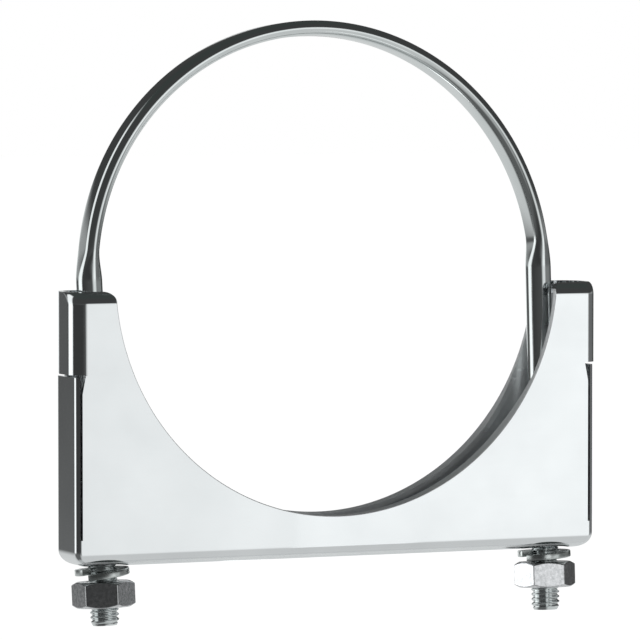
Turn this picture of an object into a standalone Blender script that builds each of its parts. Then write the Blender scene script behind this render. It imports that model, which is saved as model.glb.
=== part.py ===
"""A U-bolt pipe clamp: a U-bolt with a flattened crown, a folded sheet saddle, two lock washers and two nuts.

The origin is on the axis of the pipe that the clamp goes round, +X is to the right, +Y runs along the pipe
to the back and +Z is up. The saddle stands square in this frame. The U-bolt hangs loose in it, so it leans a
little to the back and to the left, and its washers and nuts lean with it. All lengths are in metres.
"""

import math

import bmesh
import bpy
from mathutils import Matrix, Vector

# The pipe and the clamp's round opening.
BORE_RADIUS = 0.0770  # a 6 inch pipe, 152.4 mm, with 0.8 mm to spare all round
CUTOUT_RADIUS = 0.0772  # the saddle's half of the opening

# The U-bolt. Its crown is rolled flat, and its legs are round rod with a 3/8-16 thread.
CROWN_THICKNESS = 0.0048
CROWN_WIDTH = 0.0099
ROD_RADIUS = 0.0042
LEG_X = 0.0790  # from the bolt's middle to a leg, at the crown's ends
LEG_TOE_IN = math.radians(0.75)
LEG_LENGTH = {"left": 0.1083, "right": 0.1115}
LEG_END_CHAMFER = 0.0009
FLARE_ANGLE = math.radians(8.0)  # the stretch of crown over which round rod turns into flat band
BOLT_CENTRE = Vector((-0.0026, 0.0031, -0.0006))
BOLT_LEAN = math.radians(3.3)  # to the back
BOLT_ROLL = math.radians(0.65)  # to the left
CROWN_STEPS = 60
ROD_SIDES = 24

# The saddle, folded from one sheet.
SHEET = 0.0017
SADDLE_DEPTH = 0.0180
SADDLE_BOTTOM = -0.0906
EAR_TOP = -0.0040
LIP_RADIUS = 0.0040  # outer bend radius of the lip along the top of the front ears
EAR_HALF_LENGTH = 0.0921
# Outer radii of the bends between the walls and the wrapped sides, at the ears and at the end flaps.
EAR_FRONT_CORNER = {"left": 0.0052, "right": 0.0038}
EAR_BACK_CORNER = 0.0070
END_HALF_LENGTH = 0.0910
END_FRONT_CORNER = 0.0020
END_BACK_CORNER = 0.0032
LONG_BEND_RADIUS = 0.0040  # between the base and the front and back walls
END_BEND_RADIUS = 0.0050  # between the base and the end flaps
EAR_INNER_CORNER = 0.0034
END_GAP_Z = -0.0304  # between an ear's wrapped side and the end flap below it
END_GAP = 0.0008
WRAP_CORNER = 0.0070  # rounded lower back corner of the ear's wrapped side
FLAP_SLIT_X = 0.0887
FLAP_SLIT = 0.0008
FLAP_SLIT_DEPTH = 0.0060  # from the wall's outer face, so the slit opens the whole bend
FLAP_SLIT_BOTTOM = -0.0820
FLAP_SLIT_WIDENS_Z = -0.0360
FLAP_SLIT_WIDENING = 0.0011
LEG_HOLE_X = 0.0778
LEG_HOLE_RADIUS = 0.0069
LEG_HOLE_STRETCH = 0.0016  # half of the straight part that makes each leg hole a slot
CRADLE_LIP_DEPTH = 0.0044  # of the turned-in edge along the round cut-out, from the wall's outer face
CRADLE_LIP_START = math.radians(27.0)  # below the level of the opening's centre
CRADLE_LIP_FADE = math.radians(14.0)
BEND_STEPS = 6
CUTOUT_STEPS = 96

# Washers and nuts. Places along a leg are measured down from the level of the crown's ends.
NUT_ACROSS_FLATS = 0.0175
NUT_HEIGHT = 0.0083
NUT_TOP = {"left": 0.0943, "right": 0.0958}
NUT_BORE_RADIUS = 0.0045
NUT_CHAMFER_ANGLE = math.radians(30.0)
NUT_TURN = {"left": math.radians(-25.3), "right": math.radians(-17.0)}
WASHER_OUTER_RADIUS = 0.00865
WASHER_INNER_RADIUS = 0.0050
WASHER_THICKNESS = 0.0021
WASHER_RISE = {"left": 0.0018, "right": 0.0014}  # how far the split ends stand apart
# The loose washers rest askew on the nuts.
WASHER_TILT = {"left": math.radians(4.0), "right": math.radians(2.5)}
WASHER_GAP_ANGLE = math.radians(14.0)
WASHER_SPLIT_AT = {"left": math.radians(-150.0), "right": math.radians(-165.0)}
WASHER_STEPS = 48
TOUCHING_GAP = 0.0003

SIDES = {"left": -1.0, "right": 1.0}
BOLT_FRAME = (
    Matrix.Translation(BOLT_CENTRE)
    @ Matrix.Rotation(-BOLT_ROLL, 4, "Y")
    @ Matrix.Rotation(-BOLT_LEAN, 4, "X")
)


def clear_scene():
    for obj in list(bpy.data.objects):
        bpy.data.objects.remove(obj)


def metal(name, colour, roughness):
    material = bpy.data.materials.new(name)
    material.use_nodes = True
    shader = material.node_tree.nodes["Principled BSDF"]
    shader.inputs["Base Color"].default_value = (*colour, 1.0)
    shader.inputs["Metallic"].default_value = 1.0
    shader.inputs["Roughness"].default_value = roughness
    return material


def make_object(name, bm, material=None, place=None):
    """A new object from bm, with its faces facing out and its flat and round faces shaded as such."""
    bmesh.ops.recalc_face_normals(bm, faces=bm.faces)
    mesh = bpy.data.meshes.new(name)
    bm.to_mesh(mesh)
    bm.free()
    mesh.shade_smooth()
    mesh.set_sharp_from_angle(angle=math.radians(35.0))
    obj = bpy.data.objects.new(name, mesh)
    bpy.context.scene.collection.objects.link(obj)
    if material:
        mesh.materials.append(material)
    if place:
        obj.matrix_world = place
    return obj


def as_cutter(obj):
    obj.hide_render = True
    obj.display_type = "WIRE"
    return obj


def combine(obj, other, operation):
    modifier = obj.modifiers.new(other.name, "BOOLEAN")
    modifier.operation = operation
    modifier.object = other
    modifier.solver = "EXACT"


def lofted(rings, closed=False):
    """A body through rings of points with equal counts: capped at both ends, or joined end to end."""
    bm = bmesh.new()
    rows = [[bm.verts.new(point) for point in ring] for ring in rings]
    count = len(rows[0])
    pairs = list(zip(rows, rows[1:]))
    if closed:
        pairs.append((rows[-1], rows[0]))
    for lower, upper in pairs:
        for i in range(count):
            j = (i + 1) % count
            bm.faces.new((lower[i], lower[j], upper[j], upper[i]))
    if not closed:
        bm.faces.new(rows[0])
        bm.faces.new(rows[-1])
    return bm


def prism(outline, axis, start, end):
    """A body whose outline, given in the two other axes, runs from start to end along axis."""
    def point(pair, along):
        values = list(pair)
        values.insert(axis, along)
        return values

    return lofted([[point(pair, along) for pair in outline] for along in (start, end)])


def arc(centre, radius, start, end, steps):
    angles = [start + (end - start) * i / steps for i in range(steps + 1)]
    return [(centre[0] + radius * math.cos(a), centre[1] + radius * math.sin(a)) for a in angles]


# ---- saddle ----


def rounded_rectangle(half_length, front, back, radii):
    """An outline whose corner radii are given for the left front, right front and back corners."""
    quarter = math.pi / 2
    left_radius, right_radius, back_radius = radii
    corners = (
        (half_length - back_radius, back - back_radius, back_radius),
        (back_radius - half_length, back - back_radius, back_radius),
        (left_radius - half_length, front + left_radius, left_radius),
        (half_length - right_radius, front + right_radius, right_radius),
    )
    outline = []
    for i, (x, y, radius) in enumerate(corners):
        outline += arc((x, y), radius, i * quarter, (i + 1) * quarter, BEND_STEPS)
    return outline


def bend_inset(radius, height):
    """How far a wall has moved in, height above the level where its bend starts."""
    if height >= radius:
        return 0.0
    return radius - math.sqrt(radius**2 - (radius - height) ** 2)


def saddle_envelope(offset):
    """The saddle's outer body, or its hollow when offset is the sheet's thickness."""
    bottom = SADDLE_BOTTOM + offset
    depth = SADDLE_DEPTH / 2 - offset
    lip_start = EAR_TOP - LIP_RADIUS
    lip_radius = LIP_RADIUS - offset
    end_bend = END_BEND_RADIUS - offset
    long_bend = LONG_BEND_RADIUS - offset
    ear_radii = (EAR_FRONT_CORNER["left"], EAR_FRONT_CORNER["right"], EAR_BACK_CORNER)
    ear_corners = [radius - offset for radius in ear_radii]
    end_radii = (END_FRONT_CORNER, END_FRONT_CORNER, END_BACK_CORNER)
    end_corners = [radius - offset for radius in end_radii]
    ear_length = EAR_HALF_LENGTH - offset
    end_length = END_HALF_LENGTH - offset

    def ring(z, half_length, corners, front_inset=0.0, back_inset=0.0):
        outline = rounded_rectangle(half_length, front_inset - depth, depth - back_inset, corners)
        return [(x, y, z) for x, y in outline]

    rings = []
    for i in range(2 * BEND_STEPS + 1):
        height = end_bend * (1 - math.cos(math.pi / 2 * i / (2 * BEND_STEPS)))
        inset = bend_inset(long_bend, height)
        length = end_length - bend_inset(end_bend, height)
        rings.append(ring(bottom + height, length, end_corners, inset, inset))
    rings.append(ring(END_GAP_Z - END_GAP / 4, end_length, end_corners))
    rings.append(ring(END_GAP_Z + END_GAP / 4, ear_length, ear_corners))
    for i in range(BEND_STEPS + 1):
        angle = math.pi / 2 * i / BEND_STEPS
        inset = lip_radius * (1 - math.cos(angle))
        rings.append(ring(lip_start + lip_radius * math.sin(angle), ear_length, ear_corners, inset))
    if offset:
        rings.append(ring(EAR_TOP + LIP_RADIUS, ear_length, ear_corners, lip_radius))
    return lofted(rings)


def cutout_outline():
    """The round cut-out, opening upwards, with a rounded inner corner on each ear."""
    corner_z = EAR_TOP - EAR_INNER_CORNER
    reach = CUTOUT_RADIUS + EAR_INNER_CORNER
    corner_x = math.sqrt(reach**2 - corner_z**2)
    touch = math.atan2(corner_z, corner_x)
    top = EAR_TOP + LIP_RADIUS
    outline = arc((0.0, 0.0), CUTOUT_RADIUS, -math.pi - touch, touch, CUTOUT_STEPS)
    outline += arc((corner_x, corner_z), EAR_INNER_CORNER, math.pi + touch, math.pi / 2, BEND_STEPS)[1:]
    outline += [(corner_x, top), (-corner_x, top)]
    outline += arc((-corner_x, corner_z), EAR_INNER_CORNER, math.pi / 2, -touch, BEND_STEPS)[:-1]
    return outline


def cradle_lip(wall):
    """The turned-in edge along the cut-out of the front wall, -1, or the back wall, +1."""
    steps = 48
    outer_radius = CUTOUT_RADIUS + SHEET
    inner_radius = CUTOUT_RADIUS - SHEET
    root = wall * (SADDLE_DEPTH / 2 - SHEET / 2)
    rings = []
    for i in range(steps + 1):
        angle = CRADLE_LIP_START + (math.pi - 2 * CRADLE_LIP_START) * i / steps
        from_end = min(angle, math.pi - angle) - CRADLE_LIP_START
        grown = min(1.0, from_end / CRADLE_LIP_FADE)
        depth = SHEET + 0.0003 + (CRADLE_LIP_DEPTH - SHEET - 0.0003) * grown
        edge = wall * (SADDLE_DEPTH / 2 - depth)
        corners = ((inner_radius, root), (outer_radius, root), (outer_radius, edge), (inner_radius, edge))
        rings.append([(r * math.cos(angle), y, -r * math.sin(angle)) for r, y in corners])
    return lofted(rings)


def flap_slit_outline(side):
    """The narrow slit between a wall's end and the end flap, which widens towards its open top."""
    inner = FLAP_SLIT_X
    outer = FLAP_SLIT_X + FLAP_SLIT
    points = [
        (inner, FLAP_SLIT_BOTTOM),
        (outer, FLAP_SLIT_BOTTOM),
        (outer, END_GAP_Z),
        (inner - FLAP_SLIT_WIDENING, END_GAP_Z),
        (inner, FLAP_SLIT_WIDENS_Z),
    ]
    return [(side * x, z) for x, z in points]


def end_gap_outline():
    """The gap above an end flap, seen from the side, with the wrapped ear's rounded lower back corner."""
    reach = 0.7 * SADDLE_DEPTH
    corner = (SADDLE_DEPTH / 2 - WRAP_CORNER, END_GAP_Z + END_GAP / 2 + WRAP_CORNER)
    outline = [(-reach, END_GAP_Z - END_GAP / 2), (reach, END_GAP_Z - END_GAP / 2), (reach, corner[1])]
    outline += arc(corner, WRAP_CORNER, 0.0, -math.pi / 2, BEND_STEPS)
    outline.append((-reach, END_GAP_Z + END_GAP / 2))
    return outline


def leg_hole_outline(side):
    """A slot along the saddle, which leaves a leg room to stand off its middle."""
    quarter = math.pi / 2
    right = side * LEG_HOLE_X + LEG_HOLE_STRETCH
    left = side * LEG_HOLE_X - LEG_HOLE_STRETCH
    outline = arc((right, 0.0), LEG_HOLE_RADIUS, -quarter, quarter, 2 * BEND_STEPS)
    return outline + arc((left, 0.0), LEG_HOLE_RADIUS, quarter, 3 * quarter, 2 * BEND_STEPS)


def make_saddle(material):
    saddle = make_object("saddle", saddle_envelope(0.0), material)
    combine(saddle, as_cutter(make_object("saddle_hollow", saddle_envelope(SHEET))), "DIFFERENCE")
    for name, wall in (("front", -1.0), ("back", 1.0)):
        lip = as_cutter(make_object(name + "_cradle_lip", cradle_lip(wall)))
        combine(saddle, lip, "UNION")
    reach = 0.7 * SADDLE_DEPTH
    cutout = prism(cutout_outline(), 1, -reach, reach)
    combine(saddle, as_cutter(make_object("pipe_cutout", cutout)), "DIFFERENCE")
    for name, side in SIDES.items():
        hole = prism(leg_hole_outline(side), 2, SADDLE_BOTTOM - 2 * SHEET, SADDLE_BOTTOM + 3 * SHEET)
        combine(saddle, as_cutter(make_object(name + "_leg_hole", hole)), "DIFFERENCE")
        gap_start = side * (FLAP_SLIT_X - FLAP_SLIT_WIDENING)
        gap = prism(end_gap_outline(), 0, gap_start, side * 1.1 * EAR_HALF_LENGTH)
        combine(saddle, as_cutter(make_object(name + "_end_gap", gap)), "DIFFERENCE")
        for wall_name, wall in (("front", -1.0), ("back", 1.0)):
            inner = wall * (SADDLE_DEPTH / 2 - FLAP_SLIT_DEPTH)
            slit = prism(flap_slit_outline(side), 1, inner, wall * reach)
            cutter = as_cutter(make_object(name + "_" + wall_name + "_slit", slit))
            combine(saddle, cutter, "DIFFERENCE")
    return saddle


# ---- U-bolt ----


def leg_down(side):
    """The direction of a leg, from the crown to its threaded end, in the bolt's own frame."""
    return Vector((-side * math.sin(LEG_TOE_IN), 0.0, -math.cos(LEG_TOE_IN)))


def leg_frame(side, distance):
    """A frame on a leg's axis, distance below the crown's end, whose +Z points back up the leg."""
    start = Vector((side * LEG_X, 0.0, 0.0))
    tilt = Matrix.Rotation(side * LEG_TOE_IN, 4, "Y")
    return BOLT_FRAME @ Matrix.Translation(start + leg_down(side) * distance) @ tilt


def band_section(flatness):
    """Points (outwards, along the pipe) of the rod's section: round at 0, a flat band at 1."""
    half_thickness = ROD_RADIUS + (CROWN_THICKNESS / 2 - ROD_RADIUS) * flatness
    half_width = ROD_RADIUS + (CROWN_WIDTH / 2 - ROD_RADIUS) * flatness
    straight = half_width - half_thickness
    points = []
    for i in range(ROD_SIDES):
        angle = 2 * math.pi * (i + 0.5) / ROD_SIDES
        shift = math.copysign(straight, math.sin(angle))
        points.append((half_thickness * math.cos(angle), half_thickness * math.sin(angle) + shift))
    return points


def smooth_step(value):
    value = min(1.0, max(0.0, value))
    return value * value * (3 - 2 * value)


def crown_ring(angle):
    """A ring of the crown at an angle up from its right end."""
    flatness = smooth_step(min(angle, math.pi - angle) / FLARE_ANGLE)
    middle = BORE_RADIUS + CROWN_THICKNESS / 2
    radius = LEG_X + (middle - LEG_X) * flatness
    outwards = Vector((math.cos(angle), 0.0, math.sin(angle)))
    along = Vector((0.0, 1.0, 0.0))
    return [outwards * (radius + out) + along * y for out, y in band_section(flatness)]


def leg_ring(side, distance, radius_change):
    down = leg_down(side)
    centre = Vector((side * LEG_X, 0.0, 0.0)) + down * distance
    outwards = Vector((side * math.cos(LEG_TOE_IN), 0.0, -math.sin(LEG_TOE_IN)))
    along = Vector((0.0, 1.0, 0.0))
    scale = (ROD_RADIUS + radius_change) / ROD_RADIUS
    return [centre + outwards * out * scale + along * y * scale for out, y in band_section(0.0)]


def make_u_bolt(material):
    chamfer = LEG_END_CHAMFER
    left_end, right_end = LEG_LENGTH["left"], LEG_LENGTH["right"]
    rings = [leg_ring(1.0, right_end, -chamfer), leg_ring(1.0, right_end - chamfer, 0.0)]
    flare_steps = 8
    plain = math.pi - 2 * FLARE_ANGLE
    rings += [crown_ring(FLARE_ANGLE * i / flare_steps) for i in range(flare_steps)]
    rings += [crown_ring(FLARE_ANGLE + plain * i / CROWN_STEPS) for i in range(CROWN_STEPS + 1)]
    rings += [crown_ring(math.pi - FLARE_ANGLE * i / flare_steps) for i in reversed(range(flare_steps))]
    rings += [leg_ring(-1.0, left_end - chamfer, 0.0), leg_ring(-1.0, left_end, -chamfer)]
    return make_object("u_bolt", lofted(rings), material, BOLT_FRAME)


# ---- washers and nuts ----


def split_washer(rise):
    """A split spring washer that starts at height 0, climbs by rise in one turn, and has square ends."""
    turn = 2 * math.pi - WASHER_GAP_ANGLE
    rings = []
    for i in range(WASHER_STEPS + 1):
        angle = WASHER_GAP_ANGLE / 2 + turn * i / WASHER_STEPS
        low = rise * i / WASHER_STEPS
        high = low + WASHER_THICKNESS
        corners = (
            (WASHER_INNER_RADIUS, low),
            (WASHER_OUTER_RADIUS, low),
            (WASHER_OUTER_RADIUS, high),
            (WASHER_INNER_RADIUS, high),
        )
        rings.append([(r * math.cos(angle), r * math.sin(angle), z) for r, z in corners])
    return lofted(rings)


def make_washer(name, side, material):
    tilt = WASHER_TILT[name]
    lift = Matrix.Translation((0.0, 0.0, TOUCHING_GAP + WASHER_OUTER_RADIUS * math.sin(tilt)))
    askew = Matrix.Rotation(-tilt, 4, "Y")
    spin = Matrix.Rotation(WASHER_SPLIT_AT[name], 4, "Z")
    place = leg_frame(side, NUT_TOP[name]) @ lift @ askew @ spin
    return make_object("lock_washer_" + name, split_washer(WASHER_RISE[name]), material, place)


def turned(profile, steps):
    """A closed ring turned round the Z axis from a profile of (radius, height) points."""
    angles = [2 * math.pi * i / steps for i in range(steps)]
    rings = [[(r * math.cos(a), r * math.sin(a), z) for r, z in profile] for a in angles]
    return lofted(rings, closed=True)


def chamfered_ring():
    """The round body that gives a nut its bore and its rounded corners."""
    corner = NUT_ACROSS_FLATS / math.sqrt(3) * 1.02
    flat = NUT_ACROSS_FLATS / 2 * 0.97
    drop = (corner - flat) * math.tan(NUT_CHAMFER_ANGLE)
    mouth = NUT_BORE_RADIUS + 0.0006
    profile = [
        (NUT_BORE_RADIUS, -0.0006),
        (mouth, 0.0),
        (flat, 0.0),
        (corner, -drop),
        (corner, drop - NUT_HEIGHT),
        (flat, -NUT_HEIGHT),
        (mouth, -NUT_HEIGHT),
        (NUT_BORE_RADIUS, 0.0006 - NUT_HEIGHT),
    ]
    return turned(profile, 48)


def make_nut(name, side, material):
    place = leg_frame(side, NUT_TOP[name]) @ Matrix.Rotation(NUT_TURN[name], 4, "Z")
    nut = make_object("hex_nut_" + name, chamfered_ring(), material, place)
    corner = NUT_ACROSS_FLATS / math.sqrt(3)
    hexagon = arc((0.0, 0.0), corner, 0.0, 2 * math.pi, 6)[:-1]
    prism_body = prism(hexagon, 2, -2 * NUT_HEIGHT, NUT_HEIGHT)
    shape = as_cutter(make_object("hexagon_" + name, prism_body, place=place))
    combine(nut, shape, "INTERSECT")
    return nut


def main():
    clear_scene()
    chrome = metal("chrome", (0.80, 0.82, 0.83), 0.06)
    chrome_sheet = metal("chrome_sheet", (0.82, 0.84, 0.85), 0.07)
    plated = metal("plated_steel", (0.62, 0.64, 0.65), 0.22)
    washer_steel = metal("washer_steel", (0.50, 0.52, 0.53), 0.30)
    make_u_bolt(chrome)
    make_saddle(chrome_sheet)
    for name, side in SIDES.items():
        make_washer(name, side, washer_steel)
        make_nut(name, side, plated)


main()
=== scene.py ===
"""Looks of a chrome U-bolt pipe clamp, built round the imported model.

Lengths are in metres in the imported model's frame: the origin is on the pipe's axis, +X is to the right,
+Y runs along the pipe to the back and +Z is up.
"""

import math

import bmesh
import bpy
from mathutils import Matrix, Vector


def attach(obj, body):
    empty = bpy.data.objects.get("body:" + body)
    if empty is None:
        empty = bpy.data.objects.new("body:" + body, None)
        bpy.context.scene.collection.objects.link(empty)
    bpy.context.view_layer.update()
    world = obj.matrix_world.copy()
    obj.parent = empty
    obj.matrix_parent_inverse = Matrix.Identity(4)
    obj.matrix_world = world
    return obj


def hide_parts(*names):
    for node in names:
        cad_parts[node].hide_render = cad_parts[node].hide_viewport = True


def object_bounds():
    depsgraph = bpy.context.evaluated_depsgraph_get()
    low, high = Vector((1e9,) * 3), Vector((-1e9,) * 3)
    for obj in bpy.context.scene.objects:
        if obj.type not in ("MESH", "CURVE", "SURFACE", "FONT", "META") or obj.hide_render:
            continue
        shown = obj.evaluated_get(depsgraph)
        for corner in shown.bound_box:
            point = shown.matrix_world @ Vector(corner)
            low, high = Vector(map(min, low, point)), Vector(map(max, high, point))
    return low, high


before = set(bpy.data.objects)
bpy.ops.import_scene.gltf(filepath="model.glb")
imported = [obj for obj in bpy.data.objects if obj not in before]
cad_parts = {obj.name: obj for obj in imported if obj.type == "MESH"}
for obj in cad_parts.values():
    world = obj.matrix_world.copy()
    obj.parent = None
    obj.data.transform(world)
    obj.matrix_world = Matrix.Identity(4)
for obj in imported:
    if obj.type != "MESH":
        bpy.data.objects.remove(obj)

cad_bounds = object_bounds()

# Places and sizes that repeat the model's own.
BORE_RADIUS = 0.0770
CUTOUT_RADIUS = 0.0772
CROWN_THICKNESS = 0.0048
CROWN_WIDTH = 0.0099
ROD_RADIUS = 0.0042
LEG_X = 0.0790
LEG_TOE_IN = math.radians(0.75)
LEG_LENGTH = {"left": 0.1083, "right": 0.1115}
FLARE_ANGLE = math.radians(8.0)
BOLT_CENTRE = Vector((-0.0026, 0.0031, -0.0006))
BOLT_LEAN = math.radians(3.3)
BOLT_ROLL = math.radians(0.65)
SHEET = 0.0017
SADDLE_DEPTH = 0.0180
SADDLE_BOTTOM = -0.0906
EAR_TOP = -0.0040
LIP_RADIUS = 0.0040
EAR_HALF_LENGTH = 0.0921
EAR_FRONT_CORNER = {"left": 0.0052, "right": 0.0038}
EAR_BACK_CORNER = 0.0070
END_HALF_LENGTH = 0.0910
END_FRONT_CORNER = 0.0020
END_BACK_CORNER = 0.0032
LONG_BEND_RADIUS = 0.0040
END_BEND_RADIUS = 0.0050
EAR_INNER_CORNER = 0.0034
END_GAP_Z = -0.0304
END_GAP = 0.0008
WRAP_CORNER = 0.0070
FLAP_SLIT_X = 0.0887
FLAP_SLIT = 0.0008
FLAP_SLIT_DEPTH = 0.0060
FLAP_SLIT_BOTTOM = -0.0820
FLAP_SLIT_WIDENS_Z = -0.0360
FLAP_SLIT_WIDENING = 0.0011
LEG_HOLE_X = 0.0778
LEG_HOLE_RADIUS = 0.0069
LEG_HOLE_STRETCH = 0.0016
CRADLE_LIP_DEPTH = 0.0044
CRADLE_LIP_ROOT = 0.0003  # how far the lip still stands in from the sheet at its two ends
CRADLE_LIP_START = math.radians(27.0)
CRADLE_LIP_FADE = math.radians(14.0)
NUT_ACROSS_FLATS = 0.0175
NUT_HEIGHT = 0.0083
NUT_TOP = {"left": 0.0943, "right": 0.0958}
NUT_CHAMFER_ANGLE = math.radians(30.0)
NUT_CHAMFER_START = 0.96  # the chamfer's inner circle, as a share of the width across the flats
NUT_TURN = {"left": math.radians(-25.3), "right": math.radians(-17.0)}
WASHER_OUTER_RADIUS = 0.00865
WASHER_INNER_RADIUS = 0.0050
WASHER_THICKNESS = 0.0021
WASHER_CORNER = 0.0003
WASHER_RISE = {"left": 0.0018, "right": 0.0014}
WASHER_TILT = {"left": math.radians(4.0), "right": math.radians(2.5)}
WASHER_GAP_ANGLE = math.radians(14.0)
WASHER_SPLIT_AT = {"left": math.radians(-150.0), "right": math.radians(-165.0)}
TOUCHING_GAP = 0.0003
SIDES = {"left": -1.0, "right": 1.0}
BOLT_FRAME = (
    Matrix.Translation(BOLT_CENTRE)
    @ Matrix.Rotation(-BOLT_ROLL, 4, "Y")
    @ Matrix.Rotation(-BOLT_LEAN, 4, "X")
)

# The 3/8-16 rolled thread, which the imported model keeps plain.
THREAD_PITCH = 0.0015875
THREAD_MAJOR = 0.00460
THREAD_MINOR = 0.00398
THREAD_CREST = 0.09  # half of the crest's width, in pitches
THREAD_FLANK = 0.30  # a flank's width, in pitches
THREAD_LENGTH = 0.0360
THREAD_END_CHAMFER = 0.0012
THREAD_END_DROP = 0.0002  # how much smaller than the thread's root the radius of the leg's end is
THREAD_RUN_OUT = 0.0030
NUT_BORE_RADIUS = 0.00478
NUT_MOUTH_RADIUS = 0.0053

# How finely the visible pieces are divided.
ROD_SIDES = 48
CROWN_STEPS = 200
FLARE_STEPS = 28
FIRST_LEG_RING = 0.0015  # below the crown's end
PLAIN_LEG_STEPS = 24
THREAD_STEPS_PER_TURN = 12
BEND_STEPS = 14
CUTOUT_STEPS = 240
LIP_STEPS = 120
WASHER_STEPS = 160
WASHER_CORNER_STEPS = 3
NUT_SIDE_STEPS = 16
NUT_ROUNDING = 0.00040
NUT_ROUNDING_STEPS = 3
EDGE_ROUNDING = 0.00018
EDGE_ROUNDING_STEPS = 2
CUT_ROUNDING = 0.0003
CUT_ROUNDING_STEPS = 4
CUT_REACH = 0.7 * SADDLE_DEPTH  # from the saddle's middle to past its walls
GAP_REACH = 1.1 * EAR_HALF_LENGTH  # from the saddle's middle to past its ends

# Degrees above which the edge between two faces stays sharp, or is rounded.
CREASE = 35.0
BOLT_CREASE = 60.0
NUT_CREASE = 25.0
SADDLE_ROUNDED_EDGE = 50.0

# The finishes: two tints, the scale of their clouds, the range of the roughness, the stretch of the
# grain, the height of the grain and the height of the waves.
FINISHES = {
    "chrome_sheet": (
        (0.84, 0.86, 0.87), (0.90, 0.92, 0.93), 45.0,
        (0.05, 0.12), (0.08, 1.0, 1.0), 0.000002, 0.00003,
    ),
    "chrome_band": (
        (0.76, 0.80, 0.80), (0.84, 0.87, 0.87), 45.0,
        (0.06, 0.13), (1.0, 1.0, 0.3), 0.000002, 0.00002,
    ),
    "plated_steel": (
        (0.58, 0.59, 0.60), (0.88, 0.88, 0.90), 1000.0,
        (0.16, 0.30), (1.0, 1.0, 0.5), 0.000030, 0.00008,
    ),
    "washer_steel": (
        (0.56, 0.60, 0.59), (0.72, 0.75, 0.74), 300.0,
        (0.18, 0.32), (1.0, 1.0, 1.0), 0.000012, 0.00006,
    ),
}
UNSTRETCHED = (1.0, 1.0, 1.0)
TINT_STOPS = (0.30, 0.70)  # where the clouds reach the dark and the light tint
CLOUD_DETAIL = 3.0
GRAIN_SCALE = 900.0
GRAIN_DETAIL = 4.0
WAVE_SCALE = 26.0
WAVE_DETAIL = 1.0

# How far the saddle's inner side loses its shine, and the streaks in it.
DULL_METALLIC_LOSS = 0.4
DULL_ROUGHNESS = 0.35
STREAK_STRETCH = (0.06, 1.0, 1.0)
STREAK_SCALE = 500.0
STREAK_DETAIL = 3.0
STREAK_RANGE = (0.30, 1.0)

# The brightness of the studio's zones, by degrees to the right of the front. ZONE_LOW is below the
# horizon, ZONE_LEVEL at it, ZONE_RAISED a little above it and ZONE_HIGH above that.
ZONE_LOW = ((-180, 0.68), (-140, 0.60), (-105, 0.12), (-25, 0.12), (5, 0.60), (180, 0.68))
ZONE_LEVEL = (
    (-180, 1.00), (-171, 1.00), (-164, 0.10), (-128, 0.085), (-122, 1.20), (-90, 1.20), (-83, 0.04),
    (-12, 0.04), (4, 0.08), (12, 0.50), (19, 0.80), (26, 1.05), (36, 1.05), (45, 0.16),
    (100, 0.13), (110, 0.05), (150, 0.07), (160, 1.00), (180, 1.00),
)
ZONE_RAISED = (
    (-180, 1.00), (-171, 1.00), (-165, 0.34), (-136, 0.30), (-122, 1.10), (-92, 1.10), (-84, 0.05),
    (5, 0.08), (20, 0.80), (36, 0.80), (46, 0.22), (100, 0.28), (112, 0.06), (150, 0.06),
    (160, 0.80),
)
ZONE_HIGH = ((-132, 0.05), (-124, 1.00), (-94, 1.00), (-86, 0.05))
GROUND_COLOUR = (0.45, 0.47, 0.47)
CEILING_COLOUR = (0.045, 0.052, 0.050)
ZONE_RED = 0.98  # the zones' red, as a share of their green and blue

# Degrees above the horizon between which each zone takes over from the one below it.
LOW_STARTS = (-75.0, -55.0)
LEVEL_STARTS = (-17.0, -3.2)
RAISED_STARTS = (-1.5, 3.0)
HIGH_STARTS = (5.0, 12.0)
CEILING_STARTS = (44.0, 60.0)

# The floor.
FLOOR_HALF_SIZE = 6.0
FLOOR_DROP = 0.0002  # below the legs' ends
FLOOR_SPECKLE_SCALE = 30.0
FLOOR_SPECKLE_DETAIL = 2.0
FLOOR_TINTS = ((0.2, (0.10, 0.10, 0.10)), (0.8, (0.12, 0.12, 0.12)))
FLOOR_ROUGHNESS = 0.9

# Cards that light the right nut: azimuth, elevation, distance, size and glow.
BOUNCE_CARDS = {
    "nut_front_card": (math.radians(-9.0), math.radians(3.0), 0.12, 0.05, 1.0),
    "nut_side_card": (math.radians(-130.0), math.radians(3.0), 0.10, 0.05, 1.7),
}
CARD_COLOUR = (0.98, 1.0, 1.0, 1.0)
BLACK = (0.0, 0.0, 0.0, 1.0)
WHITE = (1.0, 1.0, 1.0, 1.0)

# The key light.
KEY_PLACE = (0.9, -1.6, 1.1)
KEY_SIZE = 1.4
KEY_POWER = 14.0

# The camera: far off, to the left and a little above the pipe's axis.
CAMERA_AZIMUTH = math.radians(24.17)
CAMERA_ELEVATION = math.radians(2.96)
CAMERA_DISTANCE = 1.831
CAMERA_TARGET = Vector((-0.0031, 0.0, -0.0148))
CAMERA_LENS = 321.0
SENSOR_WIDTH = 36.0
CAMERA_CLIP = (0.05, 50.0)


# ---- shared mesh helpers ----


def lofted(rings, closed=False):
    """A body through rings of points with equal counts: capped at both ends, or joined end to end."""
    bm = bmesh.new()
    rows = [[bm.verts.new(point) for point in ring] for ring in rings]
    count = len(rows[0])
    pairs = list(zip(rows, rows[1:]))
    if closed:
        pairs.append((rows[-1], rows[0]))
    for lower, upper in pairs:
        for i in range(count):
            j = (i + 1) % count
            bm.faces.new((lower[i], lower[j], upper[j], upper[i]))
    if not closed:
        bm.faces.new(rows[0])
        bm.faces.new(rows[-1])
    return bm


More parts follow.
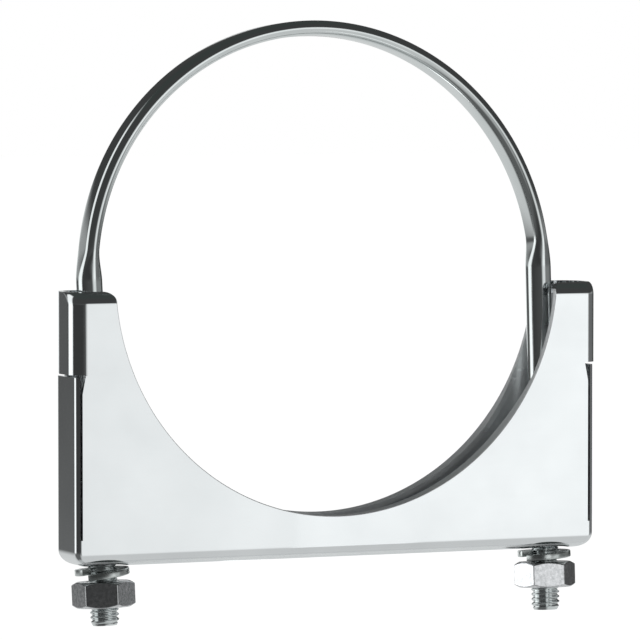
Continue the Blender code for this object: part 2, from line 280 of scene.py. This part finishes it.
def make_object(name, bm, material=None, place=None, crease=CREASE):
    """A new object from bm, with its faces facing out and its creases, in degrees, kept sharp."""
    if place:
        bm.transform(place)
    bmesh.ops.recalc_face_normals(bm, faces=bm.faces)
    mesh = bpy.data.meshes.new(name)
    bm.to_mesh(mesh)
    bm.free()
    mesh.shade_smooth()
    mesh.set_sharp_from_angle(angle=math.radians(crease))
    obj = bpy.data.objects.new(name, mesh)
    bpy.context.scene.collection.objects.link(obj)
    if material:
        mesh.materials.append(material)
    return obj


def prism(outline, axis, start, end):
    """A body whose outline, given in the two other axes, runs from start to end along axis."""
    def point(pair, along):
        values = list(pair)
        values.insert(axis, along)
        return values

    return lofted([[point(pair, along) for pair in outline] for along in (start, end)])


def arc(centre, radius, start, end, steps):
    """Points along an arc, with both its ends."""
    angles = [start + (end - start) * i / steps for i in range(steps + 1)]
    return [(centre[0] + radius * math.cos(a), centre[1] + radius * math.sin(a)) for a in angles]


def smooth_step(value):
    value = min(1.0, max(0.0, value))
    return value * value * (3 - 2 * value)


def round_edges(obj, width, segments, angle):
    """Rounds the edges whose faces meet at more than the angle, in degrees."""
    bevel = obj.modifiers.new("rounded_edges", "BEVEL")
    bevel.width = width
    bevel.segments = segments
    bevel.limit_method = "ANGLE"
    bevel.angle_limit = math.radians(angle)
    bevel.use_clamp_overlap = True
    bevel.harden_normals = False


def weigh_normals(obj):
    """Keeps the large flat faces flat in reflections, next to smooth bends."""
    weighted = obj.modifiers.new("flat_faces", "WEIGHTED_NORMAL")
    weighted.mode = "FACE_AREA"
    weighted.weight = 100
    weighted.keep_sharp = True


# ---- materials ----


def new_material(name):
    material = bpy.data.materials.new(name)
    material.use_nodes = True
    tree = material.node_tree
    return material, tree.nodes, tree.links, tree.nodes["Principled BSDF"]


def stretched_noise(nodes, links, stretch, scale, detail):
    """Noise in the object's own space, drawn out by the stretch along each axis."""
    coordinates = nodes.new("ShaderNodeTexCoord")
    mapping = nodes.new("ShaderNodeMapping")
    mapping.inputs["Scale"].default_value = stretch
    noise = nodes.new("ShaderNodeTexNoise")
    noise.inputs["Scale"].default_value = scale
    noise.inputs["Detail"].default_value = detail
    links.new(coordinates.outputs["Object"], mapping.inputs["Vector"])
    links.new(mapping.outputs["Vector"], noise.inputs["Vector"])
    return noise.outputs["Fac"]


def ramp(nodes, links, value, stops):
    """A colour ramp through (position, colour) stops."""
    colours = nodes.new("ShaderNodeValToRGB")
    elements = colours.color_ramp.elements
    while len(elements) < len(stops):
        elements.new(0.5)
    for element, (position, colour) in zip(elements, stops):
        element.position = position
        element.color = (*colour, 1.0)
    links.new(value, colours.inputs["Fac"])
    return colours.outputs["Color"]


def value_range(nodes, links, value, low, high):
    """Spreads a value that runs from 0 to 1 between low and high."""
    spread = nodes.new("ShaderNodeMapRange")
    spread.inputs["To Min"].default_value = low
    spread.inputs["To Max"].default_value = high
    links.new(value, spread.inputs["Value"])
    return spread.outputs["Result"]


def maths(nodes, links, operation, first, second=None):
    """A maths node whose inputs are numbers or sockets."""
    node = nodes.new("ShaderNodeMath")
    node.operation = operation
    for socket, value in zip(node.inputs, (first, second)):
        if isinstance(value, (int, float)):
            socket.default_value = value
        elif value is not None:
            links.new(value, socket)
    return node.outputs["Value"]


def plated_metal(name, dark, light, cloud_scale, roughness, grain_stretch, grain_height, waviness):
    """Plated steel: cloudy tint, fine polishing grain in the roughness and a slight waviness."""
    material, nodes, links, shader = new_material(name)
    clouds = stretched_noise(nodes, links, UNSTRETCHED, cloud_scale, CLOUD_DETAIL)
    grain = stretched_noise(nodes, links, grain_stretch, GRAIN_SCALE, GRAIN_DETAIL)
    waves = stretched_noise(nodes, links, UNSTRETCHED, WAVE_SCALE, WAVE_DETAIL)
    tint = ramp(nodes, links, clouds, tuple(zip(TINT_STOPS, (dark, light))))
    links.new(tint, shader.inputs["Base Color"])
    links.new(value_range(nodes, links, grain, *roughness), shader.inputs["Roughness"])
    fine = nodes.new("ShaderNodeBump")
    fine.inputs["Strength"].default_value = 1.0
    fine.inputs["Distance"].default_value = grain_height
    broad = nodes.new("ShaderNodeBump")
    broad.inputs["Strength"].default_value = 1.0
    broad.inputs["Distance"].default_value = waviness
    links.new(waves, broad.inputs["Height"])
    links.new(grain, fine.inputs["Height"])
    links.new(broad.outputs["Normal"], fine.inputs["Normal"])
    links.new(fine.outputs["Normal"], shader.inputs["Normal"])
    shader.inputs["Metallic"].default_value = 1.0
    return material


def dull_inside(material):
    """Makes the saddle's inner side, which isn't polished, dull and streaked, and its cut edge dull."""
    nodes, links = material.node_tree.nodes, material.node_tree.links
    shader = nodes["Principled BSDF"]
    coordinates = nodes.new("ShaderNodeTexCoord")
    split = nodes.new("ShaderNodeSeparateXYZ")
    links.new(coordinates.outputs["Object"], split.inputs["Vector"])
    inside = maths(nodes, links, "GREATER_THAN", split.outputs["Z"], SADDLE_BOTTOM + SHEET / 2)
    below_lip = maths(nodes, links, "LESS_THAN", split.outputs["Z"], EAR_TOP - LIP_RADIUS)
    inside = maths(nodes, links, "MULTIPLY", inside, below_lip)
    for axis, limit in (("X", FLAP_SLIT_X - SHEET / 4), ("Y", SADDLE_DEPTH / 2 - SHEET / 2)):
        distance = maths(nodes, links, "ABSOLUTE", split.outputs[axis])
        within = maths(nodes, links, "LESS_THAN", distance, limit)
        inside = maths(nodes, links, "MULTIPLY", inside, within)
    noise = stretched_noise(nodes, links, STREAK_STRETCH, STREAK_SCALE, STREAK_DETAIL)
    streaks = value_range(nodes, links, noise, *STREAK_RANGE)
    across = maths(nodes, links, "MULTIPLY", split.outputs["X"], split.outputs["X"])
    up = maths(nodes, links, "MULTIPLY", split.outputs["Z"], split.outputs["Z"])
    radius = maths(nodes, links, "SQRT", maths(nodes, links, "ADD", across, up))
    cut_edge = maths(nodes, links, "LESS_THAN", radius, CUTOUT_RADIUS + SHEET / 8)
    dull = maths(nodes, links, "MAXIMUM", maths(nodes, links, "MULTIPLY", inside, streaks), cut_edge)
    less = maths(nodes, links, "MULTIPLY", dull, DULL_METALLIC_LOSS)
    links.new(maths(nodes, links, "SUBTRACT", 1.0, less), shader.inputs["Metallic"])
    rough = shader.inputs["Roughness"].links[0].from_socket
    more = maths(nodes, links, "MULTIPLY", dull, DULL_ROUGHNESS)
    links.new(maths(nodes, links, "ADD", rough, more), shader.inputs["Roughness"])


# ---- U-bolt ----


def leg_down(side):
    """The direction of a leg, away from the crown."""
    return Vector((-side * math.sin(LEG_TOE_IN), 0.0, -math.cos(LEG_TOE_IN)))


def leg_frame(side, distance):
    """A frame on a leg's axis, distance below the crown's end, whose +Z points back up the leg."""
    start = Vector((side * LEG_X, 0.0, 0.0))
    tilt = Matrix.Rotation(side * LEG_TOE_IN, 4, "Y")
    return BOLT_FRAME @ Matrix.Translation(start + leg_down(side) * distance) @ tilt


def section_angle(i):
    return 2 * math.pi * (i + 0.5) / ROD_SIDES


def band_section(flatness):
    """Points (outwards, along the pipe) of the rod's section: round at 0, a flat band at 1."""
    half_thickness = ROD_RADIUS + (CROWN_THICKNESS / 2 - ROD_RADIUS) * flatness
    half_width = ROD_RADIUS + (CROWN_WIDTH / 2 - ROD_RADIUS) * flatness
    straight = half_width - half_thickness
    points = []
    for i in range(ROD_SIDES):
        angle = section_angle(i)
        shift = math.copysign(straight, math.sin(angle))
        points.append((half_thickness * math.cos(angle), half_thickness * math.sin(angle) + shift))
    return points


def crown_ring(angle):
    """A ring of the crown at an angle up from its right end."""
    flatness = smooth_step(min(angle, math.pi - angle) / FLARE_ANGLE)
    middle = BORE_RADIUS + CROWN_THICKNESS / 2
    radius = LEG_X + (middle - LEG_X) * flatness
    outwards = Vector((math.cos(angle), 0.0, math.sin(angle)))
    along = Vector((0.0, 1.0, 0.0))
    return [outwards * (radius + out) + along * y for out, y in band_section(flatness)]


def thread_radius(length, distance, turn):
    """The radius of a leg at a distance from the crown and at a share of a turn round the leg."""
    start = length - THREAD_LENGTH
    phase = (distance / THREAD_PITCH - turn) % 1.0
    flank = min(1.0, max(0.0, (abs(phase - 0.5) - THREAD_CREST) / THREAD_FLANK))
    threaded = THREAD_MAJOR + (THREAD_MINOR - THREAD_MAJOR) * flank
    run_out = smooth_step((distance - start) / THREAD_RUN_OUT)
    radius = ROD_RADIUS + (threaded - ROD_RADIUS) * run_out
    from_end = length - distance
    depth = THREAD_MAJOR - THREAD_MINOR
    end_limit = THREAD_MINOR - THREAD_END_DROP + from_end / THREAD_END_CHAMFER * depth
    return min(radius, end_limit)


def leg_ring(name, distance):
    """A ring of a leg, whose thread winds to the right on both legs."""
    side = SIDES[name]
    centre = Vector((side * LEG_X, 0.0, 0.0)) + leg_down(side) * distance
    outwards = Vector((side * math.cos(LEG_TOE_IN), 0.0, -math.sin(LEG_TOE_IN)))
    along = Vector((0.0, 1.0, 0.0))
    points = []
    for i in range(ROD_SIDES):
        angle = section_angle(i)
        turn = angle / (2 * math.pi)
        radius = thread_radius(LEG_LENGTH[name], distance, -side * turn)
        points.append(centre + outwards * radius * math.cos(angle) + along * radius * math.sin(angle))
    return points


def leg_distances(name):
    """Ring places down a leg: sparse on the plain rod, dense on the thread."""
    start = LEG_LENGTH[name] - THREAD_LENGTH
    span = start - FIRST_LEG_RING
    plain = [FIRST_LEG_RING + span * i / PLAIN_LEG_STEPS for i in range(PLAIN_LEG_STEPS)]
    count = round(THREAD_LENGTH / THREAD_PITCH * THREAD_STEPS_PER_TURN)
    return plain + [start + THREAD_LENGTH * i / count for i in range(count + 1)]


def make_u_bolt(material):
    plain = math.pi - 2 * FLARE_ANGLE
    rings = [leg_ring("right", distance) for distance in reversed(leg_distances("right"))]
    rings += [crown_ring(FLARE_ANGLE * i / FLARE_STEPS) for i in range(FLARE_STEPS)]
    rings += [crown_ring(FLARE_ANGLE + plain * i / CROWN_STEPS) for i in range(CROWN_STEPS + 1)]
    rings += [crown_ring(math.pi - FLARE_ANGLE * i / FLARE_STEPS) for i in reversed(range(FLARE_STEPS))]
    rings += [leg_ring("left", distance) for distance in leg_distances("left")]
    bolt = make_object("u_bolt_rod", lofted(rings), material, BOLT_FRAME, BOLT_CREASE)
    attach(bolt, "u_bolt")
    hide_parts("u_bolt")


# ---- saddle ----


def combine(obj, bm, name, operation):
    """Joins bm to obj, or cuts it away, and leaves no helper behind."""
    other = make_object(name, bm)
    modifier = obj.modifiers.new(name, "BOOLEAN")
    modifier.operation = operation
    modifier.object = other
    modifier.solver = "EXACT"
    graph = bpy.context.evaluated_depsgraph_get()
    result = bpy.data.meshes.new_from_object(obj.evaluated_get(graph))
    obj.modifiers.clear()
    obj.data = result
    bpy.data.objects.remove(other)


def rounded_rectangle(half_length, front, back, radii):
    """An outline whose corner radii are given for the left front, right front and back corners."""
    quarter = math.pi / 2
    left_radius, right_radius, back_radius = radii
    corners = (
        (half_length - back_radius, back - back_radius, back_radius),
        (back_radius - half_length, back - back_radius, back_radius),
        (left_radius - half_length, front + left_radius, left_radius),
        (half_length - right_radius, front + right_radius, right_radius),
    )
    outline = []
    for i, (x, y, radius) in enumerate(corners):
        outline += arc((x, y), radius, i * quarter, (i + 1) * quarter, BEND_STEPS)
    return outline


def bend_inset(radius, height):
    """How far a wall has moved in, height above the level where its bend starts."""
    if height >= radius:
        return 0.0
    return radius - math.sqrt(radius**2 - (radius - height) ** 2)


def saddle_envelope(offset):
    """The saddle's outer body, or its hollow when offset is the sheet's thickness."""
    bottom = SADDLE_BOTTOM + offset
    depth = SADDLE_DEPTH / 2 - offset
    lip_start = EAR_TOP - LIP_RADIUS
    lip_radius = LIP_RADIUS - offset
    end_bend = END_BEND_RADIUS - offset
    long_bend = LONG_BEND_RADIUS - offset
    ear_radii = (EAR_FRONT_CORNER["left"], EAR_FRONT_CORNER["right"], EAR_BACK_CORNER)
    ear_corners = [radius - offset for radius in ear_radii]
    end_radii = (END_FRONT_CORNER, END_FRONT_CORNER, END_BACK_CORNER)
    end_corners = [radius - offset for radius in end_radii]
    ear_length = EAR_HALF_LENGTH - offset
    end_length = END_HALF_LENGTH - offset

    def ring(z, half_length, corners, front_inset=0.0, back_inset=0.0):
        outline = rounded_rectangle(half_length, front_inset - depth, depth - back_inset, corners)
        return [(x, y, z) for x, y in outline]

    rings = []
    for i in range(2 * BEND_STEPS + 1):
        height = end_bend * (1 - math.cos(math.pi / 2 * i / (2 * BEND_STEPS)))
        inset = bend_inset(long_bend, height)
        length = end_length - bend_inset(end_bend, height)
        rings.append(ring(bottom + height, length, end_corners, inset, inset))
    rings.append(ring(END_GAP_Z - END_GAP / 4, end_length, end_corners))
    rings.append(ring(END_GAP_Z + END_GAP / 4, ear_length, ear_corners))
    for i in range(BEND_STEPS + 1):
        angle = math.pi / 2 * i / BEND_STEPS
        inset = lip_radius * (1 - math.cos(angle))
        rings.append(ring(lip_start + lip_radius * math.sin(angle), ear_length, ear_corners, inset))
    if offset:
        rings.append(ring(EAR_TOP + LIP_RADIUS, ear_length, ear_corners, lip_radius))
    return lofted(rings)


def cutout_outline(spread=0.0):
    """The round cut-out, open at the top, with a rounded inner corner on each ear, spread outwards."""
    radius = CUTOUT_RADIUS + spread
    corner = EAR_INNER_CORNER - spread
    corner_z = EAR_TOP - EAR_INNER_CORNER
    corner_x = math.sqrt((radius + corner) ** 2 - corner_z**2)
    touch = math.atan2(corner_z, corner_x)
    top = EAR_TOP + LIP_RADIUS
    outline = arc((0.0, 0.0), radius, -math.pi - touch, touch, CUTOUT_STEPS)
    outline += arc((corner_x, corner_z), corner, math.pi + touch, math.pi / 2, BEND_STEPS)[1:]
    outline += [(corner_x, top), (-corner_x, top)]
    outline += arc((-corner_x, corner_z), corner, math.pi / 2, -touch, BEND_STEPS)[:-1]
    return outline


def cutout_cutter():
    """The body that cuts the round opening and rounds the edges where the punch pulled the sheet down."""
    face = SADDLE_DEPTH / 2
    levels = [(face + CUT_ROUNDING, CUT_ROUNDING)]
    for i in range(CUT_ROUNDING_STEPS + 1):
        angle = math.pi / 2 * i / CUT_ROUNDING_STEPS
        depth = CUT_ROUNDING * (1 - math.cos(angle))
        levels.append((face - depth, CUT_ROUNDING * (1 - math.sin(angle))))
    levels = [(-y, spread) for y, spread in levels] + [(y, spread) for y, spread in reversed(levels)]
    return lofted([[(x, y, z) for x, z in cutout_outline(spread)] for y, spread in levels])


def cradle_lip(wall):
    """The turned-in edge along the cut-out of the front wall, -1, or the back wall, +1."""
    outer_radius = CUTOUT_RADIUS + SHEET
    inner_radius = CUTOUT_RADIUS - SHEET
    root = wall * (SADDLE_DEPTH / 2 - SHEET / 2)
    rings = []
    for i in range(LIP_STEPS + 1):
        angle = CRADLE_LIP_START + (math.pi - 2 * CRADLE_LIP_START) * i / LIP_STEPS
        from_end = min(angle, math.pi - angle) - CRADLE_LIP_START
        grown = min(1.0, from_end / CRADLE_LIP_FADE)
        depth = SHEET + CRADLE_LIP_ROOT + (CRADLE_LIP_DEPTH - SHEET - CRADLE_LIP_ROOT) * grown
        edge = wall * (SADDLE_DEPTH / 2 - depth)
        corners = ((inner_radius, root), (outer_radius, root), (outer_radius, edge), (inner_radius, edge))
        rings.append([(r * math.cos(angle), y, -r * math.sin(angle)) for r, y in corners])
    return lofted(rings)


def flap_slit_outline(side):
    """The narrow slit between a wall's end and the end flap, which widens towards its open top."""
    inner = FLAP_SLIT_X
    outer = FLAP_SLIT_X + FLAP_SLIT
    points = [
        (inner, FLAP_SLIT_BOTTOM),
        (outer, FLAP_SLIT_BOTTOM),
        (outer, END_GAP_Z),
        (inner - FLAP_SLIT_WIDENING, END_GAP_Z),
        (inner, FLAP_SLIT_WIDENS_Z),
    ]
    return [(side * x, z) for x, z in points]


def end_gap_outline():
    """The gap above an end flap, seen from the side, with the wrapped ear's rounded lower back corner."""
    bottom = END_GAP_Z - END_GAP / 2
    top = END_GAP_Z + END_GAP / 2
    corner = (SADDLE_DEPTH / 2 - WRAP_CORNER, top + WRAP_CORNER)
    outline = [(-CUT_REACH, bottom), (CUT_REACH, bottom), (CUT_REACH, corner[1])]
    outline += arc(corner, WRAP_CORNER, 0.0, -math.pi / 2, BEND_STEPS)
    outline.append((-CUT_REACH, top))
    return outline


def leg_hole_outline(side):
    """A slot along the saddle, which leaves a leg room to stand off its middle."""
    quarter = math.pi / 2
    right = side * LEG_HOLE_X + LEG_HOLE_STRETCH
    left = side * LEG_HOLE_X - LEG_HOLE_STRETCH
    outline = arc((right, 0.0), LEG_HOLE_RADIUS, -quarter, quarter, 2 * BEND_STEPS)
    return outline + arc((left, 0.0), LEG_HOLE_RADIUS, quarter, 3 * quarter, 2 * BEND_STEPS)


def make_saddle(material):
    saddle = make_object("saddle_sheet", saddle_envelope(0.0), material)
    combine(saddle, saddle_envelope(SHEET), "hollow", "DIFFERENCE")
    for wall in (-1.0, 1.0):
        combine(saddle, cradle_lip(wall), "cradle_lip", "UNION")
    combine(saddle, cutout_cutter(), "pipe_cutout", "DIFFERENCE")
    for side in SIDES.values():
        hole = prism(leg_hole_outline(side), 2, SADDLE_BOTTOM - 2 * SHEET, SADDLE_BOTTOM + 3 * SHEET)
        combine(saddle, hole, "leg_hole", "DIFFERENCE")
        gap_start = side * (FLAP_SLIT_X - FLAP_SLIT_WIDENING)
        gap = prism(end_gap_outline(), 0, gap_start, side * GAP_REACH)
        combine(saddle, gap, "end_gap", "DIFFERENCE")
        for wall in (-1.0, 1.0):
            inner = wall * (SADDLE_DEPTH / 2 - FLAP_SLIT_DEPTH)
            slit = prism(flap_slit_outline(side), 1, inner, wall * CUT_REACH)
            combine(saddle, slit, "flap_slit", "DIFFERENCE")
    saddle.data.shade_smooth()
    saddle.data.set_sharp_from_angle(angle=math.radians(CREASE))
    round_edges(saddle, EDGE_ROUNDING, EDGE_ROUNDING_STEPS, SADDLE_ROUNDED_EDGE)
    weigh_normals(saddle)
    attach(saddle, "saddle")
    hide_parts("saddle")


# ---- washers and nuts ----


def washer_section(low):
    """The spring washer's section (radius, height), with rounded corners."""
    high = low + WASHER_THICKNESS
    quarter = math.pi / 2
    middles = (
        (WASHER_OUTER_RADIUS - WASHER_CORNER, high - WASHER_CORNER),
        (WASHER_INNER_RADIUS + WASHER_CORNER, high - WASHER_CORNER),
        (WASHER_INNER_RADIUS + WASHER_CORNER, low + WASHER_CORNER),
        (WASHER_OUTER_RADIUS - WASHER_CORNER, low + WASHER_CORNER),
    )
    points = []
    for i, middle in enumerate(middles):
        points += arc(middle, WASHER_CORNER, i * quarter, (i + 1) * quarter, WASHER_CORNER_STEPS)
    return points


def split_washer(rise):
    """A spring washer whose split ends stand apart by the rise."""
    turn = 2 * math.pi - WASHER_GAP_ANGLE
    rings = []
    for i in range(WASHER_STEPS + 1):
        angle = WASHER_GAP_ANGLE / 2 + turn * i / WASHER_STEPS
        section = washer_section(rise * i / WASHER_STEPS)
        rings.append([(r * math.cos(angle), r * math.sin(angle), z) for r, z in section])
    return lofted(rings)


def make_washer(name, side, material):
    tilt = WASHER_TILT[name]
    lift = Matrix.Translation((0.0, 0.0, TOUCHING_GAP + WASHER_OUTER_RADIUS * math.sin(tilt)))
    askew = Matrix.Rotation(-tilt, 4, "Y")
    spin = Matrix.Rotation(WASHER_SPLIT_AT[name], 4, "Z")
    place = leg_frame(side, NUT_TOP[name]) @ lift @ askew @ spin
    washer = make_object("split_washer_" + name, split_washer(WASHER_RISE[name]), material, place)
    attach(washer, "washer_" + name)
    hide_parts("lock_washer_" + name)


def hexagon_radius(angle):
    """The distance from a nut's axis to its flats, with a corner at angle 0."""
    sector = math.pi / 3
    return NUT_ACROSS_FLATS / 2 / math.cos(angle % sector - sector / 2)


def hex_nut():
    """A nut with 30 degree chamfers on its corners and countersunk ends."""
    flat = NUT_ACROSS_FLATS / 2 * NUT_CHAMFER_START
    count = 6 * NUT_SIDE_STEPS
    sink = NUT_MOUTH_RADIUS - NUT_BORE_RADIUS
    rings = []
    for i in range(count):
        angle = 2 * math.pi * i / count
        wall = hexagon_radius(angle)
        drop = (wall - flat) * math.tan(NUT_CHAMFER_ANGLE)
        profile = [
            (NUT_BORE_RADIUS, -sink),
            (NUT_MOUTH_RADIUS, 0.0),
            (flat, 0.0),
            (wall, -drop),
            (wall, drop - NUT_HEIGHT),
            (flat, -NUT_HEIGHT),
            (NUT_MOUTH_RADIUS, -NUT_HEIGHT),
            (NUT_BORE_RADIUS, sink - NUT_HEIGHT),
        ]
        rings.append([(r * math.cos(angle), r * math.sin(angle), z) for r, z in profile])
    return lofted(rings, closed=True)


def make_nut(name, side, material):
    place = leg_frame(side, NUT_TOP[name]) @ Matrix.Rotation(NUT_TURN[name], 4, "Z")
    nut = make_object("nut_" + name, hex_nut(), material, place, NUT_CREASE)
    round_edges(nut, NUT_ROUNDING, NUT_ROUNDING_STEPS, NUT_CREASE)
    weigh_normals(nut)
    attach(nut, "nut_" + name)
    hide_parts("hex_nut_" + name)


# ---- studio ----


def studio_world():
    """Soft light all round, with dark zones that give chrome its dark lines. The camera sees white."""
    world = bpy.data.worlds.new("studio")
    bpy.context.scene.world = world
    world.use_nodes = True
    nodes, links = world.node_tree.nodes, world.node_tree.links
    background = nodes["Background"]
    coordinates = nodes.new("ShaderNodeTexCoord")
    split = nodes.new("ShaderNodeSeparateXYZ")
    links.new(coordinates.outputs["Generated"], split.inputs["Vector"])

    # The azimuth runs from 0 behind the object, through 0.25 on the left, 0.5 in front and 0.75 on the right.
    across = split.outputs["X"]
    away = maths(nodes, links, "MULTIPLY", split.outputs["Y"], -1.0)
    turn = maths(nodes, links, "DIVIDE", maths(nodes, links, "ARCTAN2", across, away), 2 * math.pi)
    azimuth = maths(nodes, links, "ADD", turn, 0.5)
    rise = maths(nodes, links, "DIVIDE", maths(nodes, links, "ARCSINE", split.outputs["Z"]), math.pi)
    height = maths(nodes, links, "ADD", rise, 0.5)

    def zone(stops):
        """The colours of a zone of the studio round the whole turn."""
        colours = []
        for degrees, level in stops:
            colours.append((degrees / 360.0 + 0.5, (level * ZONE_RED, level, level)))
        return ramp(nodes, links, azimuth, colours)

    def blend(lower, upper, start, end):
        """Goes from lower to upper between two heights, in degrees above the horizon."""
        share = nodes.new("ShaderNodeMapRange")
        share.interpolation_type = "SMOOTHSTEP"
        share.inputs["From Min"].default_value = start / 180.0 + 0.5
        share.inputs["From Max"].default_value = end / 180.0 + 0.5
        links.new(height, share.inputs["Value"])
        join = nodes.new("ShaderNodeMix")
        join.data_type = "RGBA"
        links.new(share.outputs["Result"], join.inputs["Factor"])
        for value, socket in ((lower, join.inputs["A"]), (upper, join.inputs["B"])):
            if isinstance(value, tuple):
                socket.default_value = (*value, 1.0)
            else:
                links.new(value, socket)
        return join.outputs["Result"]

    ground = blend(GROUND_COLOUR, zone(ZONE_LOW), *LOW_STARTS)
    lower_sky = blend(ground, zone(ZONE_LEVEL), *LEVEL_STARTS)
    middle_sky = blend(lower_sky, zone(ZONE_RAISED), *RAISED_STARTS)
    upper_sky = blend(middle_sky, zone(ZONE_HIGH), *HIGH_STARTS)
    sky = blend(upper_sky, CEILING_COLOUR, *CEILING_STARTS)
    seen = nodes.new("ShaderNodeMix")
    seen.data_type = "RGBA"
    seen.inputs["B"].default_value = WHITE
    path = nodes.new("ShaderNodeLightPath")
    links.new(path.outputs["Is Camera Ray"], seen.inputs["Factor"])
    links.new(sky, seen.inputs["A"])
    links.new(seen.outputs["Result"], background.inputs["Color"])


def make_floor():
    """A plain white floor under the clamp, which glows to stay as pale as its surroundings."""
    size = FLOOR_HALF_SIZE
    height = cad_bounds[0][2] - FLOOR_DROP
    bm = bmesh.new()
    corners = ((-size, -size), (size, -size), (size, size), (-size, size))
    bm.faces.new([bm.verts.new((x, y, height)) for x, y in corners])
    material, nodes, links, shader = new_material("white_floor")
    speckle = stretched_noise(nodes, links, UNSTRETCHED, FLOOR_SPECKLE_SCALE, FLOOR_SPECKLE_DETAIL)
    links.new(ramp(nodes, links, speckle, FLOOR_TINTS), shader.inputs["Base Color"])
    shader.inputs["Roughness"].default_value = FLOOR_ROUGHNESS
    shader.inputs["Emission Color"].default_value = WHITE
    shader.inputs["Emission Strength"].default_value = 1.0
    floor = make_object("floor", bm, material)
    floor.visible_glossy = False


def bounce_card(name, target, azimuth, elevation, distance, size, glow):
    """A small glowing card that faces a target. Only reflections see it."""
    direction = Vector((math.sin(azimuth), -math.cos(azimuth), math.tan(elevation))).normalized()
    facing = direction.to_track_quat("Z", "Y").to_matrix().to_4x4()
    place = Matrix.Translation(target + direction * distance) @ facing
    half = size / 2
    corners = ((-half, -half), (half, -half), (half, half), (-half, half))
    bm = bmesh.new()
    bm.faces.new([bm.verts.new((x, y, 0.0)) for x, y in corners])
    material, _, _, shader = new_material(name)
    shader.inputs["Base Color"].default_value = BLACK
    shader.inputs["Emission Color"].default_value = CARD_COLOUR
    shader.inputs["Emission Strength"].default_value = glow
    card = make_object(name, bm, material, place)
    card.visible_camera = False
    card.visible_diffuse = False
    card.visible_shadow = False


def soft_light(name, place, size, power):
    """A round lamp that faces the pipe's axis and stays out of reflections."""
    light = bpy.data.lights.new(name, "AREA")
    light.shape = "DISK"
    light.size = size
    light.energy = power
    obj = bpy.data.objects.new(name, light)
    bpy.context.scene.collection.objects.link(obj)
    obj.location = place
    obj.rotation_euler = (-Vector(place)).to_track_quat("-Z", "Y").to_euler()
    obj.visible_glossy = False


def make_camera():
    forward = Vector((
        math.sin(CAMERA_AZIMUTH) * math.cos(CAMERA_ELEVATION),
        math.cos(CAMERA_AZIMUTH) * math.cos(CAMERA_ELEVATION),
        -math.sin(CAMERA_ELEVATION),
    ))
    data = bpy.data.cameras.new("camera")
    data.lens = CAMERA_LENS
    data.sensor_width = SENSOR_WIDTH
    data.clip_start, data.clip_end = CAMERA_CLIP
    camera = bpy.data.objects.new("camera", data)
    bpy.context.scene.collection.objects.link(camera)
    camera.location = CAMERA_TARGET - forward * CAMERA_DISTANCE
    camera.rotation_euler = forward.to_track_quat("-Z", "Y").to_euler()
    bpy.context.scene.camera = camera


def main():
    bpy.context.scene.view_settings.view_transform = "Standard"
    metals = {name: plated_metal(name, *finish) for name, finish in FINISHES.items()}
    dull_inside(metals["chrome_sheet"])
    make_u_bolt(metals["chrome_band"])
    make_saddle(metals["chrome_sheet"])
    for name, side in SIDES.items():
        make_washer(name, side, metals["washer_steel"])
        make_nut(name, side, metals["plated_steel"])
    studio_world()
    make_floor()
    nut_place = leg_frame(SIDES["right"], NUT_TOP["right"] + NUT_HEIGHT / 2).translation
    for name, values in BOUNCE_CARDS.items():
        bounce_card(name, nut_place, *values)
    soft_light("key", KEY_PLACE, KEY_SIZE, KEY_POWER)
    make_camera()


main()

bpy.context.view_layer.update()
